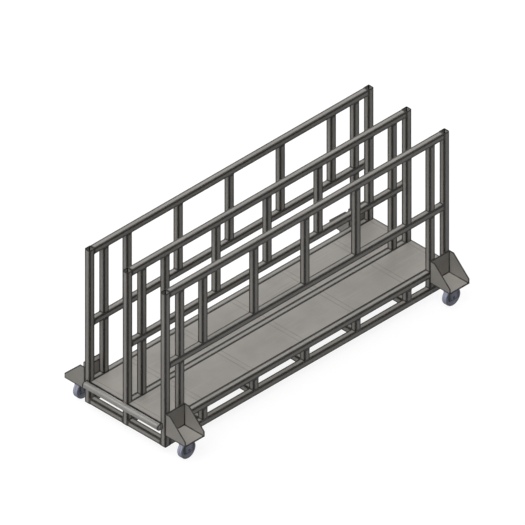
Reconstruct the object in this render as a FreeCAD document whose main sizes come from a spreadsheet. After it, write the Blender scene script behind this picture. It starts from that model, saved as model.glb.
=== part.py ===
"""Two-bay panel trolley: three welded tube frames, two steel decks, four swivel casters and a loading roller.

Millimetres, +Z up, +X along the length, the origin on the floor under the middle of the outline.
The loading roller stands across the -X end, and the front frame is on the -Y side.
"""

import FreeCAD
import Part
import Sketcher

import math
import os

# Driving dimensions
SIZES = {
    # square tube stock
    "tube_side": 60,
    "tube_wall": 3,
    "tube_corner": 6,
    "least_corner": 0.5,
    # ladder frames, measured between tube centre lines
    "post_spacing": 3320,
    "bay_pitch": 450,
    "post_height": 1577,
    "ground_clearance": 78,
    "deck_rail_rise": 170,
    "mid_rail_rise": 617,
    "last_stud_gap": 276,
    # deck sheets
    "sheet_thickness": 3,
    "sheet_side_gap": 1,
    # outrigger brackets
    "bracket_margin": 12.5,
    "bracket_height": 228,
    "reach_margin": 44.5,
    "cheek_thickness": 6,
    "cheek_lip": 50,
    "cheek_flat": 55,
    "back_thickness": 8,
    "base_thickness": 8,
    # caster wheels
    "wheel_diameter": 175,
    "wheel_width": 50,
    "tyre_thickness": 18,
    "tyre_shoulder": 5,
    "rim_thickness": 8,
    "rim_inset": 2,
    "web_thickness": 40,
    "hub_wall": 9,
    "bearing_diameter": 32,
    "bearing_width": 13,
    "axle_diameter": 12,
    "axle_head_flats": 19,
    "axle_head_height": 8,
    "axle_tail": 3,
    # caster forks and swivel heads
    "trail": 40,
    "kingpin_offset": 35,
    "swivel_clearance": 13,
    "fork_side_gap": 3,
    "fork_leg_thickness": 5,
    "fork_leg_width": 114,
    "fork_leg_drop": 24,
    "crown_clearance": 5,
    "crown_thickness": 6,
    "race_height": 11,
    "race_split": 2,
    "ball_circle": 50,
    "ball_diameter": 8,
    "race_lip": 4,
    "kingpin_diameter": 16,
    "kingpin_head_diameter": 28,
    "kingpin_head_height": 3.5,
    "kingpin_nut_flats": 24,
    "kingpin_nut_height": 6,
    # caster top plates and their bolts
    "plate_length": 135,
    "plate_width": 110,
    "plate_thickness": 5,
    "plate_corner": 10,
    "bolt_edge": 15,
    "bolt_diameter": 10,
    "bolt_head_flats": 17,
    "bolt_head_height": 6.4,
    # loading roller
    "roller_diameter": 60,
    "roller_wall": 3,
    "roller_gap": 4,
    "roller_proud": 11,
    "roller_side_gap": 4,
    "roller_plug_length": 22,
    "end_plate_thickness": 8,
    "roller_axle_diameter": 16,
    "roller_nut_flats": 24,
    "roller_nut_height": 8,
    # clearances
    "running_clearance": 0.06,
    "ball_clearance": 0.1,
    "seat_gap": 0.3,
}

# Places worked out from the driving dimensions
LAYOUT = {
    "half_side": "=sizes.tube_side / 2",
    "half_length": "=sizes.post_spacing / 2",
    "end_face": "=half_length + half_side",
    "side_face": "=sizes.bay_pitch + half_side",
    "rail_length": "=sizes.post_spacing - sizes.tube_side",
    "cross_length": "=sizes.bay_pitch - sizes.tube_side",
    "bay_centre": "=sizes.bay_pitch / 2",
    "bottom_z": "=sizes.ground_clearance + half_side",
    "deck_z": "=bottom_z + sizes.deck_rail_rise",
    "mid_z": "=deck_z + sizes.mid_rail_rise",
    "top_z": "=sizes.ground_clearance + sizes.post_height - half_side",
    "deck_top": "=deck_z + half_side",
    "cross_z": "=deck_z - sizes.sheet_thickness",
    "bracket_width": "=2 * (sizes.kingpin_offset + sizes.plate_length / 2 + sizes.bracket_margin)",
    "bracket_x": "=end_face - bracket_width / 2",
    "end_stud_x": "=bracket_x - bracket_width / 2 + half_side",
    "stud_pitch": "=(end_stud_x - sizes.last_stud_gap) / 2",
    "wheel_radius": "=sizes.wheel_diameter / 2",
    "caster_y": "=side_face + sizes.trail + wheel_radius + sizes.swivel_clearance",
    "bracket_reach": "=caster_y - side_face + sizes.plate_width / 2 + sizes.reach_margin",
    "crown_z": "=sizes.wheel_diameter + sizes.crown_clearance",
    "crown_top": "=crown_z + sizes.crown_thickness",
    "plate_z": "=crown_top + sizes.race_height",
    "caster_height": "=plate_z + sizes.plate_thickness",
    "race_ring_height": "=(sizes.race_height - sizes.race_split) / 2",
    "race_outer": "=sizes.ball_circle / 2 + sizes.ball_diameter / 2 + sizes.race_lip",
    "race_inner": "=sizes.ball_circle / 2 - sizes.ball_diameter / 2 - sizes.race_lip",
    "fork_inner": "=sizes.wheel_width / 2 + sizes.fork_side_gap",
    "fork_outer": "=fork_inner + sizes.fork_leg_thickness",
    "hub_radius": "=wheel_radius - sizes.tyre_thickness",
    "bolt_x": "=sizes.plate_length / 2 - sizes.bolt_edge",
    "bolt_y": "=sizes.plate_width / 2 - sizes.bolt_edge",
    "roller_reach": "=sizes.roller_gap + sizes.roller_diameter",
    "roller_radius": "=sizes.roller_diameter / 2",
    "roller_z": "=deck_top + sizes.roller_proud - roller_radius",
    "roller_half": "=sizes.bay_pitch - sizes.end_plate_thickness - sizes.roller_side_gap",
    "middle_x": "=roller_reach / 2",
    "roller_x": "=middle_x - end_face - sizes.roller_gap - roller_radius",
}

FRAMES = {"front": "-sizes.bay_pitch", "middle": "0", "rear": "sizes.bay_pitch"}
BAYS = {"front": "-layout.bay_centre", "rear": "layout.bay_centre"}
ENDS = {"roller_end": -1, "far_end": 1}
SIDES = {"front": -1, "rear": 1}
BALLS_PER_RACE = 14
HEX = "/ 2 / cos(30 deg)"
QUARTER = math.pi / 2

# Names of the points of a sketch line and of the sketch's own axes
START = 1
END = 2
CENTRE = 3
X_LINE = -1
Y_LINE = -2

X_AXIS = FreeCAD.Vector(1, 0, 0)
Y_AXIS = FreeCAD.Vector(0, 1, 0)
Z_AXIS = FreeCAD.Vector(0, 0, 1)
UPRIGHT = FreeCAD.Rotation()
ALONG = {"x": FreeCAD.Rotation(Z_AXIS, X_AXIS), "y": FreeCAD.Rotation(Z_AXIS, Y_AXIS), "z": UPRIGHT}

doc = FreeCAD.newDocument("panel_trolley")
nodes = {}


def table(name, rows):
    """A sheet with one named cell for each row."""
    sheet = doc.addObject("Spreadsheet::Sheet", name)
    for number, (alias, content) in enumerate(rows.items(), start=1):
        sheet.set(f"A{number}", alias)
        sheet.set(f"B{number}", str(content))
        sheet.setAlias(f"B{number}", alias)
    return sheet


sizes = table("sizes", SIZES)
layout = table("layout", LAYOUT)
doc.recompute()


def value(expression):
    """The number that an expression of the sheets gives."""
    return float(layout.evalExpression(expression))


def bind(thing, **expressions):
    """Tie properties of an object to the sheets."""
    for name, expression in expressions.items():
        thing.setExpression(name, expression)
    return thing


def place(thing, x, y, z, rotation=UPRIGHT):
    """Turn an object and tie its place to the sheets."""
    thing.Placement = FreeCAD.Placement(FreeCAD.Vector(), rotation)
    for axis, expression in zip("xyz", (x, y, z)):
        thing.setExpression(f"Placement.Base.{axis}", expression)
    return thing


def node(thing, label):
    """Register an object as a sub-part."""
    thing.Label = label
    nodes[label] = thing
    return thing


def group(label, members):
    """A sub-part made of several like solids."""
    compound = doc.addObject("Part::Compound", label)
    compound.Links = members
    return node(compound, label)


# Sketch helpers


def sketch_on(body, name, role, offset="0"):
    """A sketch on one of a body's own origin planes, moved along the plane's normal."""
    sketch = body.newObject("Sketcher::SketchObject", name)
    plane = next(feature for feature in body.Origin.OriginFeatures if feature.Role == role)
    sketch.AttachmentSupport = [(plane, "")]
    sketch.MapMode = "FlatFace"
    sketch.setExpression("AttachmentOffset.Base.z", offset)
    return sketch


def dimension(sketch, kind, expression, *where):
    """A dimension of a sketch, tied to the sheets."""
    index = sketch.addConstraint(Sketcher.Constraint(kind, *where, value(expression)))
    sketch.setExpression(f"Constraints[{index}]", expression)


def fix_point(sketch, geometry, end, x, y):
    """Hold a point of a sketch at two coordinates."""
    for kind, expression, axis in (("DistanceX", x, Y_LINE), ("DistanceY", y, X_LINE)):
        if expression == "0":
            sketch.addConstraint(Sketcher.Constraint("PointOnObject", geometry, end, axis))
        else:
            dimension(sketch, kind, expression, geometry, end)


def circle(sketch, radius, x="0", y="0"):
    centre = FreeCAD.Vector(value(x), value(y), 0)
    index = sketch.addGeometry(Part.Circle(centre, Z_AXIS, value(radius)))
    fix_point(sketch, index, CENTRE, x, y)
    dimension(sketch, "Radius", radius, index)


def polygon(sketch, corners):
    points = [FreeCAD.Vector(value(x), value(y), 0) for x, y in corners]
    first = sketch.GeometryCount
    count = len(points)
    for index, point in enumerate(points):
        sketch.addGeometry(Part.LineSegment(point, points[(index + 1) % count]))
    for index in range(count):
        following = first + (index + 1) % count
        sketch.addConstraint(Sketcher.Constraint("Coincident", first + index, END, following, START))
    for index, (x, y) in enumerate(corners):
        fix_point(sketch, first + index, START, x, y)


def rounded_rectangle(sketch, width, height, radius):
    """A rectangle about the origin with four equal rounded corners."""
    half_width, half_height, corner = value(width) / 2, value(height) / 2, value(radius)
    flat_x, flat_y = half_width - corner, half_height - corner
    first = sketch.GeometryCount
    sides = [
        ((-flat_x, -half_height), (flat_x, -half_height)),
        ((half_width, -flat_y), (half_width, flat_y)),
        ((flat_x, half_height), (-flat_x, half_height)),
        ((-half_width, flat_y), (-half_width, -flat_y)),
    ]
    for start, end in sides:
        sketch.addGeometry(Part.LineSegment(FreeCAD.Vector(*start, 0), FreeCAD.Vector(*end, 0)))
    centres = [(flat_x, -flat_y), (flat_x, flat_y), (-flat_x, flat_y), (-flat_x, -flat_y)]
    for index, (x, y) in enumerate(centres):
        full = Part.Circle(FreeCAD.Vector(x, y, 0), Z_AXIS, corner)
        sketch.addGeometry(Part.ArcOfCircle(full, (index - 1) * QUARTER, index * QUARTER))
    for index in range(4):
        arc = first + 4 + index
        sketch.addConstraint(Sketcher.Constraint("Tangent", first + index, END, arc, START))
        sketch.addConstraint(Sketcher.Constraint("Tangent", arc, END, first + (index + 1) % 4, START))
        sketch.addConstraint(Sketcher.Constraint("Vertical" if index % 2 else "Horizontal", first + index))
        if index:
            sketch.addConstraint(Sketcher.Constraint("Equal", first + 4, arc))
    dimension(sketch, "Radius", radius, first + 4)
    dimension(sketch, "DistanceX", width, first + 3, START, first + 1, START)
    dimension(sketch, "DistanceY", height, first, START, first + 2, START)
    sketch.addConstraint(Sketcher.Constraint("Symmetric", first, START, first + 2, START, X_LINE, START))


def round_nosed(sketch, start, nose, radius):
    """A strip about the sketch's X axis, square at start and with a half-round nose centred at nose."""
    low, high, reach = value(start), value(nose), value(radius)
    first = sketch.GeometryCount
    corners = [(low, -reach), (high, -reach), (high, reach), (low, reach)]
    points = [FreeCAD.Vector(x, y, 0) for x, y in corners]
    sketch.addGeometry(Part.LineSegment(points[0], points[1]))
    full = Part.Circle(FreeCAD.Vector(high, 0, 0), Z_AXIS, reach)
    sketch.addGeometry(Part.ArcOfCircle(full, -QUARTER, QUARTER))
    sketch.addGeometry(Part.LineSegment(points[2], points[3]))
    sketch.addGeometry(Part.LineSegment(points[3], points[0]))
    bottom, arc, top, back = range(first, first + 4)
    sketch.addConstraint(Sketcher.Constraint("Tangent", bottom, END, arc, START))
    sketch.addConstraint(Sketcher.Constraint("Tangent", arc, END, top, START))
    sketch.addConstraint(Sketcher.Constraint("Coincident", top, END, back, START))
    sketch.addConstraint(Sketcher.Constraint("Coincident", back, END, bottom, START))
    sketch.addConstraint(Sketcher.Constraint("Horizontal", bottom))
    sketch.addConstraint(Sketcher.Constraint("Vertical", back))
    fix_point(sketch, arc, CENTRE, nose, "0")
    dimension(sketch, "Radius", radius, arc)
    if start == "0":
        sketch.addConstraint(Sketcher.Constraint("PointOnObject", back, START, Y_LINE))
    else:
        dimension(sketch, "DistanceX", start, back, START)


# Features


def extrude(name, profile, length, x, y, z, rotation):
    """A stock section or a flat cut outline, extruded both ways about its place."""
    solid = doc.addObject("Part::Extrusion", name)
    solid.Base = profile
    solid.DirMode = "Normal"
    solid.Solid = True
    solid.Symmetric = True
    bind(solid, LengthFwd=length)
    return place(solid, x, y, z, rotation)


def pad(body, sketch, length, reverse=False, symmetric=False):
    feature = body.newObject("PartDesign::Pad", "Pad")
    feature.Profile = sketch
    feature.Reversed = reverse
    feature.SideType = "Symmetric" if symmetric else "One side"
    bind(feature, Length=length)
    return feature


def pierce(body, sketch):
    """A hole right through a body, both ways from its sketch."""
    feature = body.newObject("PartDesign::Pocket", "Pocket")
    feature.Profile = sketch
    feature.Type = "ThroughAll"
    feature.SideType = "Symmetric"
    return feature


def sink(body, sketch, depth):
    """A blind hole, down from its sketch."""
    feature = body.newObject("PartDesign::Pocket", "Pocket")
    feature.Profile = sketch
    bind(feature, Length=depth)
    return feature


def turned(name, corners):
    """A body turned about its Y axis from a half section in Y and radius."""
    body = doc.addObject("PartDesign::Body", name)
    half = sketch_on(body, f"{name}_half", "YZ_Plane")
    polygon(half, corners)
    feature = body.newObject("PartDesign::Revolution", "Revolution")
    feature.Profile = half
    feature.ReferenceAxis = (half, ["H_Axis"])
    return body


def box(name, length, width, height, x, y, z):
    """A flat plate or sheet, placed by its lowest corner."""
    solid = doc.addObject("Part::Box", name)
    bind(solid, Length=length, Width=width, Height=height)
    return place(solid, x, y, z)


def cylinder(name, radius, height, x="0", y="0", z="0", rotation=UPRIGHT):
    solid = doc.addObject("Part::Cylinder", name)
    bind(solid, Radius=radius, Height=height)
    return place(solid, x, y, z, rotation)


def hexagon(name, flats, height, x="0", y="0", z="0", rotation=UPRIGHT):
    solid = doc.addObject("Part::Prism", name)
    solid.Polygon = 6
    bind(solid, Circumradius=f"{flats} {HEX}", Height=height)
    return place(solid, x, y, z, rotation)


def fuse(name, pieces):
    solid = doc.addObject("Part::MultiFuse", name)
    solid.Shapes = pieces
    return solid


def cut(name, base, tool):
    solid = doc.addObject("Part::Cut", name)
    solid.Base = base
    solid.Tool = tool
    return solid


def section(name):
    return doc.addObject("Sketcher::SketchObject", name)


# Square tube stock, drawn once and cut to length for every member of the frames
tube_section = section("tube_section")
rounded_rectangle(tube_section, "sizes.tube_side", "sizes.tube_side", "sizes.tube_corner")
rounded_rectangle(
    tube_section,
    "sizes.tube_side - 2 * sizes.tube_wall",
    "sizes.tube_side - 2 * sizes.tube_wall",
    "max(sizes.tube_corner - sizes.tube_wall; sizes.least_corner)",
)


def tube(name, axis, length, x, y, z):
    """A length of tube stock along an axis, placed by its middle, with x counted from the frames' middle."""
    return extrude(name, tube_section, length, f"layout.middle_x + {x}", y, z, ALONG[axis])


def between(low, high):
    """The middle and the length of a tube that stands between two rails."""
    return f"({low} + {high}) / 2", f"{high} - {low} - sizes.tube_side"


# Where the uprights of a ladder frame stand along its length
inner_studs = [f"{step} * layout.stud_pitch" for step in range(-2, 3)]
end_studs = ["-1 * layout.end_stud_x", "layout.end_stud_x"]
all_studs = inner_studs + end_studs
end_posts = ["-1 * layout.half_length", "layout.half_length"]

# Ladder frames
RAILS = {"bottom": "layout.bottom_z", "deck": "layout.deck_z", "mid": "layout.mid_z", "top": "layout.top_z"}
UPRIGHTS = {
    "upper_studs": (all_studs, "layout.mid_z", "layout.top_z"),
    "lower_studs": (end_studs, "layout.deck_z", "layout.mid_z"),
    "stub_posts": (all_studs, "layout.bottom_z", "layout.deck_z"),
}
lower_studs = []
for frame, y in FRAMES.items():
    post_middle = "sizes.ground_clearance + sizes.post_height / 2"
    posts = [tube(f"{frame}_post", "z", "sizes.post_height", x, y, post_middle) for x in end_posts]
    group(f"{frame}_posts", posts)
    for level, z in RAILS.items():
        node(tube(f"{frame}_rail", "x", "layout.rail_length", "0", y, z), f"{frame}_{level}_rail")
    for kind, (places, low, high) in UPRIGHTS.items():
        middle, length = between(low, high)
        members = [tube(f"{frame}_upright", "z", length, x, y, middle) for x in places]
        if kind == "lower_studs":
            lower_studs += members
        else:
            group(f"{frame}_{kind}", members)
group("lower_studs", lower_studs)

# Cross tubes that tie the three frames together below the decks
for kind, z in {"bottom": "layout.bottom_z", "deck": "layout.cross_z"}.items():
    for name, places in {"cross": inner_studs, "end": end_posts}.items():
        members = [
            tube(f"{kind}_{name}_tube", "y", "layout.cross_length", x, y, z)
            for y in BAYS.values()
            for x in places
        ]
        group(f"{kind}_{name}_tubes", members)

# Deck sheets, laid on the deck cross tubes with their tops level with the deck rails
for bay, y in BAYS.items():
    sheet_width = "(layout.cross_length - 2 * sizes.sheet_side_gap)"
    sheet = box(
        f"{bay}_sheet",
        "2 * layout.end_face",
        sheet_width,
        "sizes.sheet_thickness",
        "layout.middle_x - layout.end_face",
        f"{y} - {sheet_width} / 2",
        "layout.deck_top - sizes.sheet_thickness",
    )
    node(sheet, f"{bay}_deck_sheet")

# Outline of a bracket's cheek: outwards from the frame, and up from the base
cheek_outline = section("cheek_outline")
polygon(
    cheek_outline,
    [
        ("0", "0"),
        ("layout.bracket_reach", "0"),
        ("layout.bracket_reach", "sizes.cheek_lip"),
        ("sizes.cheek_flat", "sizes.bracket_height"),
        ("0", "sizes.bracket_height"),
    ],
)

# Sections of the bearing rings and of the roller, which are round stock
bearing_section = section("bearing_section")
circle(bearing_section, "sizes.bearing_diameter / 2")
circle(bearing_section, "sizes.axle_diameter / 2 + sizes.running_clearance")
roller_section = section("roller_section")
circle(roller_section, "layout.roller_radius")
circle(roller_section, "layout.roller_radius - sizes.roller_wall")


def hex_bolt(name, shank, flats, length, head):
    """A bolt that stands on its head along +Z, with the head below the origin."""
    head_solid = hexagon(f"{name}_head", flats, head, z=f"-1 * {head}")
    shank_solid = cylinder(f"{name}_shank", f"{shank} / 2", length)
    return fuse(name, [head_solid, shank_solid])


def hex_nut(name, thread, flats, height):
    """A nut along +Z from the origin."""
    blank = hexagon(f"{name}_blank", flats, height)
    hole = cylinder(f"{name}_hole", f"{thread} / 2 + sizes.running_clearance", height)
    return cut(name, blank, hole)


def grooved(name, body):
    """A swivel head's half with its ball groove cut."""
    groove = doc.addObject("Part::Torus", f"{name}_groove")
    bind(groove, Radius1="sizes.ball_circle / 2", Radius2="sizes.ball_diameter / 2 + sizes.ball_clearance")
    place(groove, "0", "0", "layout.crown_top + sizes.race_height / 2")
    return cut(name, body, groove)


def race_ring(body, name, z, down=False):
    """The raised ring of a swivel head, on a crown or under a plate."""
    ring = sketch_on(body, f"{name}_ring", "XY_Plane", z)
    circle(ring, "layout.race_outer")
    circle(ring, "layout.race_inner")
    pad(body, ring, "layout.race_ring_height", reverse=down)


def top_plate(name):
    """A caster's top plate with its upper ball race, about the kingpin's axis."""
    body = doc.addObject("PartDesign::Body", f"{name}_body")
    outline = sketch_on(body, f"{name}_outline", "XY_Plane", "layout.plate_z")
    rounded_rectangle(outline, "sizes.plate_length", "sizes.plate_width", "sizes.plate_corner")
    circle(outline, "sizes.kingpin_diameter / 2 + sizes.running_clearance")
    for x in ("-1 * layout.bolt_x", "layout.bolt_x"):
        for y in ("-1 * layout.bolt_y", "layout.bolt_y"):
            circle(outline, "sizes.bolt_diameter / 2 + sizes.seat_gap", x, y)
    pad(body, outline, "sizes.plate_thickness")
    race_ring(body, name, "layout.plate_z", down=True)
    seat = sketch_on(body, f"{name}_seat", "XY_Plane", "layout.caster_height")
    circle(seat, "sizes.kingpin_head_diameter / 2 + sizes.running_clearance")
    sink(body, seat, "sizes.kingpin_head_height")
    return grooved(name, body)


def fork(name):
    """A caster's fork about the kingpin's axis: two legs, a crown and the lower ball race."""
    body = doc.addObject("PartDesign::Body", f"{name}_body")
    legs = sketch_on(body, f"{name}_legs", "YZ_Plane", "-sizes.trail")
    foot = "layout.wheel_radius - sizes.fork_leg_drop"
    outer, inner = "layout.fork_outer", "layout.fork_inner"
    corners = [
        (f"-{outer}", foot),
        (f"-{inner}", foot),
        (f"-{inner}", "layout.crown_z"),
        (inner, "layout.crown_z"),
        (inner, foot),
        (outer, foot),
        (outer, "layout.crown_top"),
        (f"-{outer}", "layout.crown_top"),
    ]
    polygon(legs, corners)
    pad(body, legs, "sizes.fork_leg_width", symmetric=True)
    crown = sketch_on(body, f"{name}_crown", "XY_Plane", "layout.crown_z")
    round_nosed(crown, "-sizes.trail", "0", "max(layout.fork_outer; layout.race_outer)")
    pad(body, crown, "sizes.crown_thickness")
    race_ring(body, name, "layout.crown_top")
    pin_hole = sketch_on(body, f"{name}_pin_hole", "XY_Plane")
    circle(pin_hole, "sizes.kingpin_diameter / 2 + sizes.running_clearance")
    pierce(body, pin_hole)
    axle_hole = sketch_on(body, f"{name}_axle_hole", "XZ_Plane")
    axle_bore = "sizes.axle_diameter / 2 + sizes.running_clearance"
    circle(axle_hole, axle_bore, "-sizes.trail", "layout.wheel_radius")
    pierce(body, axle_hole)
    return grooved(name, body)


def kingpin(name):
    """A kingpin with its flush head in the top plate and its nut under the crown."""
    nut_top = "layout.crown_z - sizes.seat_gap"
    head_seat = "layout.caster_height - sizes.kingpin_head_height"
    tip = f"({nut_top} - sizes.kingpin_nut_height)"
    shank = cylinder(f"{name}_shank", "sizes.kingpin_diameter / 2", f"{head_seat} - {tip}", z=tip)
    head_radius, head_height = "sizes.kingpin_head_diameter / 2", "sizes.kingpin_head_height"
    head = cylinder(f"{name}_head", head_radius, head_height, z=head_seat)
    pin = fuse(name, [shank, head])
    nut_sizes = ("sizes.kingpin_diameter", "sizes.kingpin_nut_flats", "sizes.kingpin_nut_height")
    nut = hex_nut(f"{name}_nut", *nut_sizes)
    place(nut, "0", "0", tip)
    return [pin, nut]


def ball_race(name):
    """The ring of balls between a top plate and a fork."""
    balls = []
    for index in range(BALLS_PER_RACE):
        ball = doc.addObject("Part::Sphere", f"{name}_ball")
        bind(ball, Radius="sizes.ball_diameter / 2")
        turn = f"{index} * 360 deg / {BALLS_PER_RACE}"
        along, across = f"sizes.ball_circle / 2 * cos({turn})", f"sizes.ball_circle / 2 * sin({turn})"
        balls.append(place(ball, along, across, "layout.crown_top + sizes.race_height / 2"))
    return balls


def tyre(name):
    """A wheel's tyre with rounded shoulders, about the wheel's centre."""
    half, inner, outer = "sizes.wheel_width / 2", "layout.hub_radius", "layout.wheel_radius"
    body = turned(name, [(f"-{half}", inner), (f"-{half}", outer), (half, outer), (half, inner)])
    doc.recompute()
    rim_edges = [
        f"Edge{number}"
        for number, edge in enumerate(body.Shape.Edges, start=1)
        if isinstance(edge.Curve, Part.Circle)
        and abs(edge.Curve.Radius - value(outer)) < sizes.running_clearance
    ]
    ring = body.Tip
    shoulders = body.newObject("PartDesign::Fillet", "Shoulders")
    shoulders.Base = (ring, rim_edges)
    bind(shoulders, Radius="min(sizes.tyre_shoulder; sizes.tyre_thickness / 2; sizes.wheel_width / 4)")
    return body


def hub(name):
    """A wheel's hub: a rim under the tyre, a web and a boss around the bearings."""
    rim_half = "sizes.wheel_width / 2 - sizes.rim_inset"
    rim_inner = "layout.hub_radius - sizes.rim_thickness"
    web_half = "sizes.web_thickness / 2"
    bore = "sizes.bearing_diameter / 2"
    boss = f"{bore} + sizes.hub_wall"
    boss_half = "sizes.wheel_width / 2"
    right = [
        (rim_half, "layout.hub_radius"),
        (rim_half, rim_inner),
        (web_half, rim_inner),
        (web_half, boss),
        (boss_half, boss),
        (boss_half, bore),
    ]
    left = [(f"-({y})", radius) for y, radius in reversed(right)]
    return turned(name, right + left)


def wheel_bearings(name):
    """The two bearing rings in a hub, each standing proud of it by the side gap."""
    outer_end = "layout.fork_inner - sizes.seat_gap"
    middle = f"({outer_end} - sizes.bearing_width / 2)"
    return [
        extrude(name, bearing_section, "sizes.bearing_width", "0", y, "0", ALONG["y"])
        for y in (f"-{middle}", middle)
    ]


def axle(name):
    """A wheel's axle bolt and its nut, along +Y from the bolt's head."""
    grip = "2 * layout.fork_outer"
    reach = f"{grip} + sizes.axle_head_height + sizes.axle_tail"
    bolt = hex_bolt(name, "sizes.axle_diameter", "sizes.axle_head_flats", reach, "sizes.axle_head_height")
    nut = hex_nut(f"{name}_nut", "sizes.axle_diameter", "sizes.axle_head_flats", "sizes.axle_head_height")
    place(bolt, "0", "-layout.fork_outer", "0", ALONG["y"])
    place(nut, "0", "layout.fork_outer", "0", ALONG["y"])
    return [bolt, nut]


def moved(label, members, x, y, z):
    """A sub-part of several solids, moved to its place as one."""
    return place(group(label, members), x, y, z)


# Outrigger brackets and casters at the four corners
back_plates, base_plates, cheeks = [], [], []
top_plates, caster_bolts, kingpins, swivel_balls = [], [], [], []
for side, outward in SIDES.items():
    for end, toward in ENDS.items():
        corner = f"{side}_{end}"
        bracket_x = f"(layout.middle_x + {toward} * layout.bracket_x)"
        face_y = f"({outward} * layout.side_face)"
        shift = min(outward, 0)
        caster_y = f"({outward} * layout.caster_y)"
        kingpin_x = f"({bracket_x} + sizes.kingpin_offset)"
        inner_width = "(layout.bracket_width - 2 * sizes.cheek_thickness)"
        inner_x = f"{bracket_x} - {inner_width} / 2"
        base_top = "layout.caster_height + sizes.base_thickness"

        # a welded bracket: back plate on the frame, base plate and two cheeks
        back = box(
            f"{corner}_back",
            inner_width,
            "sizes.back_thickness",
            "sizes.bracket_height - sizes.base_thickness",
            inner_x,
            f"{face_y} + {shift} * sizes.back_thickness",
            base_top,
        )
        back_plates.append(back)
        blank = box(
            f"{corner}_base_blank",
            inner_width,
            "layout.bracket_reach",
            "sizes.base_thickness",
            inner_x,
            f"{face_y} + {shift} * layout.bracket_reach",
            "layout.caster_height",
        )
        bolt_places = [
            (f"{kingpin_x} + {across} * layout.bolt_x", f"{caster_y} + {along} * layout.bolt_y")
            for across in (-1, 1)
            for along in (-1, 1)
        ]
        taps = [
            cylinder(
                f"{corner}_tap",
                "sizes.bolt_diameter / 2 + sizes.running_clearance",
                "sizes.base_thickness",
                x,
                y,
                "layout.caster_height",
            )
            for x, y in bolt_places
        ]
        base_plates.append(cut(f"{corner}_base", blank, fuse(f"{corner}_taps", taps)))
        cheek_turn = FreeCAD.Rotation(outward * Y_AXIS, Z_AXIS, outward * X_AXIS, "XYZ")
        for hand in (-1, 1):
            cheek_x = f"{bracket_x} + {hand} * ({inner_width} + sizes.cheek_thickness) / 2"
            cheek = extrude(
                f"{corner}_cheek",
                cheek_outline,
                "sizes.cheek_thickness",
                cheek_x,
                face_y,
                "layout.caster_height",
                cheek_turn,
            )
            cheeks.append(cheek)

        # the caster's fixed half, with its bolts up through the top plate into the base plate
        top_plates.append(place(top_plate(f"{corner}_top_plate"), kingpin_x, caster_y, "0"))
        for x, y in bolt_places:
            bolt = hex_bolt(
                f"{corner}_bolt",
                "sizes.bolt_diameter",
                "sizes.bolt_head_flats",
                "sizes.plate_thickness + sizes.base_thickness",
                "sizes.bolt_head_height",
            )
            caster_bolts.append(place(bolt, x, y, "layout.plate_z"))
        for name, members, collected in (
            ("kingpin", kingpin(f"{corner}_kingpin"), kingpins),
            ("balls", ball_race(corner), swivel_balls),
        ):
            caster_set = doc.addObject("Part::Compound", f"{corner}_{name}")
            caster_set.Links = members
            collected.append(place(caster_set, kingpin_x, caster_y, "0"))

        # the swivelling fork and the wheel in it
        node(place(fork(f"{corner}_fork_solid"), kingpin_x, caster_y, "0"), f"{corner}_fork")
        wheel_place = (f"{kingpin_x} - sizes.trail", caster_y, "layout.wheel_radius")
        moved(f"{corner}_axle", axle(f"{corner}_axle_bolt"), *wheel_place)
        node(place(tyre(f"{corner}_tyre_body"), *wheel_place), f"{corner}_tyre")
        node(place(hub(f"{corner}_hub_body"), *wheel_place), f"{corner}_hub")
        moved(f"{corner}_wheel_bearings", wheel_bearings(f"{corner}_bearing"), *wheel_place)
group("bracket_back_plates", back_plates)
group("bracket_base_plates", base_plates)
group("bracket_cheeks", cheeks)
group("caster_top_plates", top_plates)
group("caster_bolts", caster_bolts)
group("kingpins", kingpins)
group("swivel_balls", swivel_balls)

# Loading roller: a tube on two plugs that turn on a fixed axle between two end plates
roller_place = ("layout.roller_x", "0", "layout.roller_z")
roller_tube = extrude("roller", roller_section, "2 * layout.roller_half", *roller_place, ALONG["y"])
node(roller_tube, "roller_tube")

plug_inner = "layout.roller_half - sizes.roller_plug_length"
plug_nose = "layout.roller_half + sizes.roller_side_gap - sizes.seat_gap"
plug_bore = "sizes.roller_axle_diameter / 2 + sizes.running_clearance"
plug_boss = "sizes.roller_axle_diameter"
plug_radius = "layout.roller_radius - sizes.roller_wall"
plugs = []
for outward in SIDES.values():
    plug_corners = [
        (f"{outward} * ({plug_inner})", plug_bore),
        (f"{outward} * ({plug_inner})", plug_radius),
        (f"{outward} * layout.roller_half", plug_radius),
        (f"{outward} * layout.roller_half", plug_boss),
        (f"{outward} * ({plug_nose})", plug_boss),
        (f"{outward} * ({plug_nose})", plug_bore),
    ]
    plugs.append(turned("roller_plug", plug_corners))
moved("roller_bearing_plugs", plugs, *roller_place)

axle_half = "(sizes.bay_pitch + sizes.roller_nut_height)"
axle_rod = cylinder(
    "roller_rod", "sizes.roller_axle_diameter / 2", f"2 * {axle_half}", y=f"-{axle_half}", rotation=ALONG["y"]
)
roller_nut_sizes = ("sizes.roller_axle_diameter", "sizes.roller_nut_flats", "sizes.roller_nut_height")
roller_nuts = [
    place(hex_nut("roller_nut", *roller_nut_sizes), "0", y, "0", ALONG["y"])
    for y in ("-sizes.bay_pitch - sizes.roller_nut_height", "sizes.bay_pitch")
]
moved("roller_axle", [axle_rod] + roller_nuts, *roller_place)

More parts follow.
